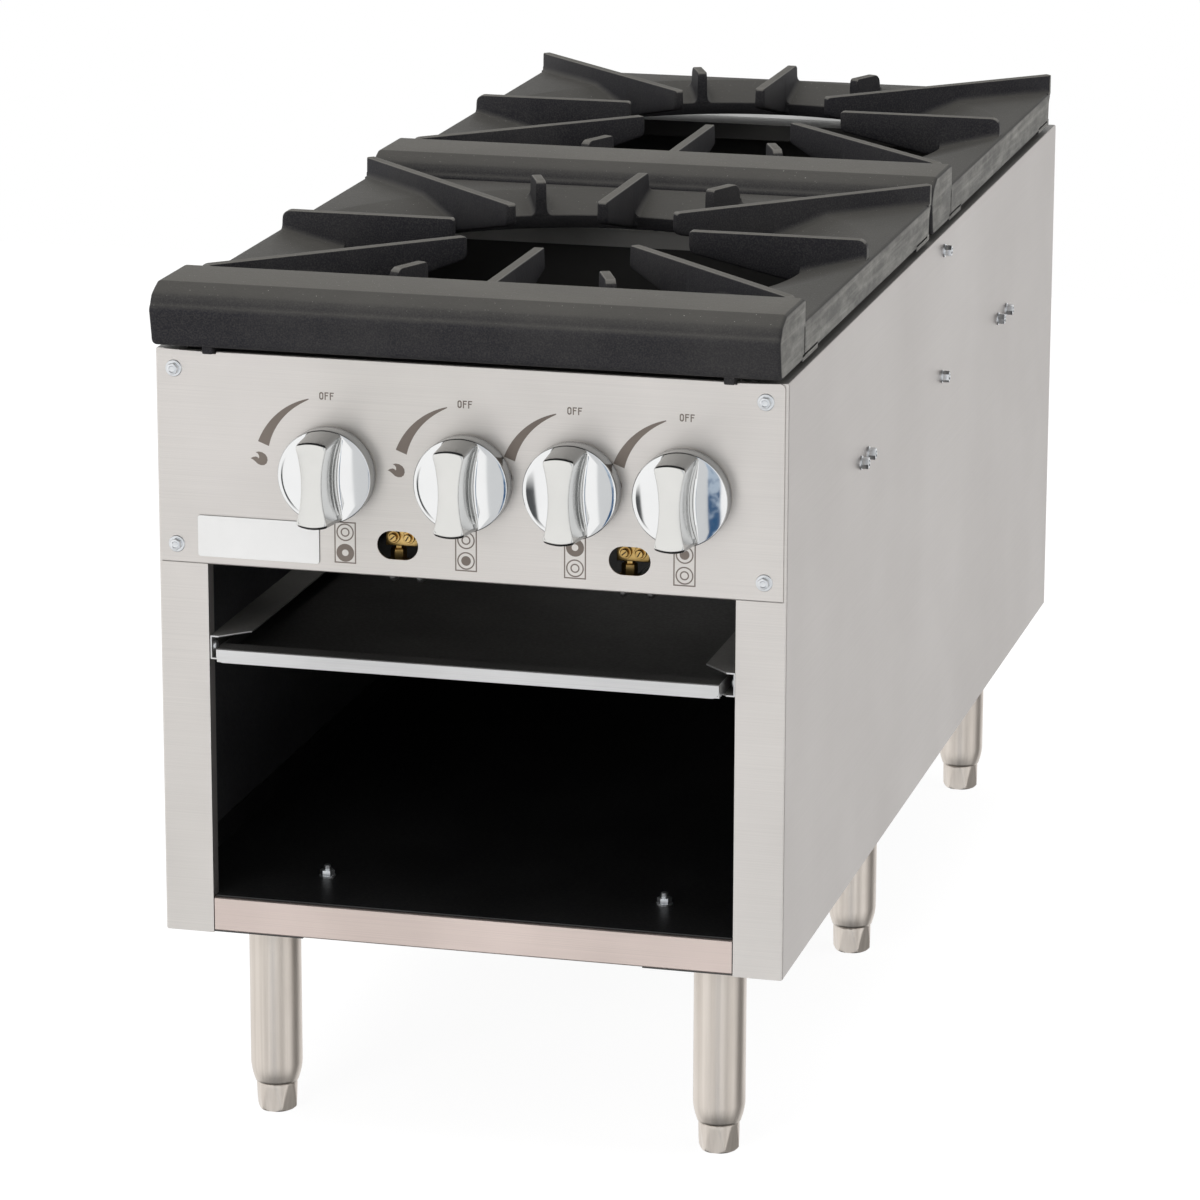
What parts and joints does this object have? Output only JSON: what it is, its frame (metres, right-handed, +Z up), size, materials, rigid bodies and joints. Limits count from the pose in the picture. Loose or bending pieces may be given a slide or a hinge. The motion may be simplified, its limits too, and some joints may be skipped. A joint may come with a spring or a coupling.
{
  "type": "stock pot range",
  "caption": "Low gas range for stock pots: cast iron top grates in line over a narrow stainless cabinet on legs, with valve knobs, a slide-out spill tray and an open storage bay.",
  "frame": {"origin": "the middle of the bounding box's base, on the floor", "axes": "+X to the right and +Y to the back as a cook stands at the knobs, +Z up"},
  "size_m": [0.47, 1.1382, 0.634],
  "materials": {
    "stainless": "brushed stainless steel, fine horizontal grain",
    "bright_edge": "brushed stainless steel, warm",
    "plain_plate": "plain satin plate",
    "inner_sheet": "galvanised sheet",
    "dark_sheet": "black satin sheet",
    "cast_iron": "matt black cast iron, sandy cast skin",
    "knob_chrome": "mirror chrome plate",
    "valve_brass": "machined brass",
    "pipe_steel": "black iron pipe",
    "tube_aluminium": "bare tube",
    "leg_steel": "satin steel tube"
  },
  "bodies": {
    "cabinet": {"left_side_panel": "stainless", "right_side_panel": "stainless", "control_panel": "stainless", "bottom_front_rail": "bright_edge", "nameplate": "plain_plate", "left_tray_rail": "inner_sheet", "right_tray_rail": "inner_sheet", "middle_top_rail": "inner_sheet", "rear_top_rail": "inner_sheet", "front_burner_support": "inner_sheet", "rear_burner_support": "inner_sheet", "back_panel": "inner_sheet", "bottom_shelf": "dark_sheet", "burner_box_divider": "dark_sheet", "left_front_leg_bracket": "dark_sheet", "left_middle_leg_bracket": "dark_sheet", "left_rear_leg_bracket": "dark_sheet", "right_front_leg_bracket": "dark_sheet", "right_middle_leg_bracket": "dark_sheet", "right_rear_leg_bracket": "dark_sheet", "front_outer_burner": "cast_iron", "front_inner_burner": "cast_iron", "rear_outer_burner": "cast_iron", "rear_inner_burner": "cast_iron", "burner_valve_1": "valve_brass", "burner_valve_2": "valve_brass", "burner_valve_3": "valve_brass", "burner_valve_4": "valve_brass", "front_pilot_valve": "valve_brass", "rear_pilot_valve": "valve_brass", "manifold_pipe": "pipe_steel", "rear_outer_gas_line": "tube_aluminium", "rear_inner_gas_line": "tube_aluminium", "front_outer_pilot_tube": "tube_aluminium", "front_inner_pilot_tube": "tube_aluminium", "rear_outer_pilot_tube": "tube_aluminium", "rear_inner_pilot_tube": "tube_aluminium", "left_front_leg": "leg_steel", "left_middle_leg": "leg_steel", "left_rear_leg": "leg_steel", "right_front_leg": "leg_steel", "right_middle_leg": "leg_steel", "right_rear_leg": "leg_steel"},
    "spill_tray_body": {"spill_tray": "stainless"},
    "front_grate_body": {"front_top_grate": "cast_iron"},
    "rear_grate_body": {"rear_top_grate": "cast_iron"},
    "knob_1_body": {"knob_1": "knob_chrome", "valve_stem_1": "valve_brass"},
    "knob_2_body": {"knob_2": "knob_chrome", "valve_stem_2": "valve_brass"},
    "knob_3_body": {"knob_3": "knob_chrome", "valve_stem_3": "valve_brass"},
    "knob_4_body": {"knob_4": "knob_chrome", "valve_stem_4": "valve_brass"},
    "left_front_foot_body": {"left_front_foot": "leg_steel"},
    "left_middle_foot_body": {"left_middle_foot": "leg_steel"},
    "left_rear_foot_body": {"left_rear_foot": "leg_steel"},
    "right_front_foot_body": {"right_front_foot": "leg_steel"},
    "right_middle_foot_body": {"right_middle_foot": "leg_steel"},
    "right_rear_foot_body": {"right_rear_foot": "leg_steel"}
  },
  "joints": [
    {"name": "knob_1_turn", "type": "hinge", "parent": "cabinet", "child": "knob_1_body", "pos_m": [-0.1, -0.5231, 0.5034], "axis": [0, -1, 0], "range_deg": [0, 90]},
    {"name": "knob_2_turn", "type": "hinge", "parent": "cabinet", "child": "knob_2_body", "pos_m": [-0.001, -0.5231, 0.5034], "axis": [0, -1, 0], "range_deg": [0, 90]},
    {"name": "knob_3_turn", "type": "hinge", "parent": "cabinet", "child": "knob_3_body", "pos_m": [0.0775, -0.5231, 0.5034], "axis": [0, -1, 0], "range_deg": [0, 90]},
    {"name": "knob_4_turn", "type": "hinge", "parent": "cabinet", "child": "knob_4_body", "pos_m": [0.156, -0.5231, 0.5034], "axis": [0, -1, 0], "range_deg": [0, 90]},
    {"name": "spill_tray_slide", "type": "slide", "parent": "cabinet", "child": "spill_tray_body", "axis": [0, -1, 0], "range_m": [0, 0.9]},
    {"name": "front_grate_lift", "type": "slide", "parent": "cabinet", "child": "front_grate_body", "axis": [0, 0, 1], "range_m": [0, 0.3]},
    {"name": "rear_grate_lift", "type": "slide", "parent": "cabinet", "child": "rear_grate_body", "axis": [0, 0, 1], "range_m": [0, 0.3]},
    {"name": "left_front_foot_level", "type": "slide", "parent": "cabinet", "child": "left_front_foot_body", "axis": [0, 0, -1], "range_m": [0, 0.025]},
    {"name": "left_middle_foot_level", "type": "slide", "parent": "cabinet", "child": "left_middle_foot_body", "axis": [0, 0, -1], "range_m": [0, 0.025]},
    {"name": "left_rear_foot_level", "type": "slide", "parent": "cabinet", "child": "left_rear_foot_body", "axis": [0, 0, -1], "range_m": [0, 0.025]},
    {"name": "right_front_foot_level", "type": "slide", "parent": "cabinet", "child": "right_front_foot_body", "axis": [0, 0, -1], "range_m": [0, 0.025]},
    {"name": "right_middle_foot_level", "type": "slide", "parent": "cabinet", "child": "right_middle_foot_body", "axis": [0, 0, -1], "range_m": [0, 0.025]},
    {"name": "right_rear_foot_level", "type": "slide", "parent": "cabinet", "child": "right_rear_foot_body", "axis": [0, 0, -1], "range_m": [0, 0.025]}
  ]
}
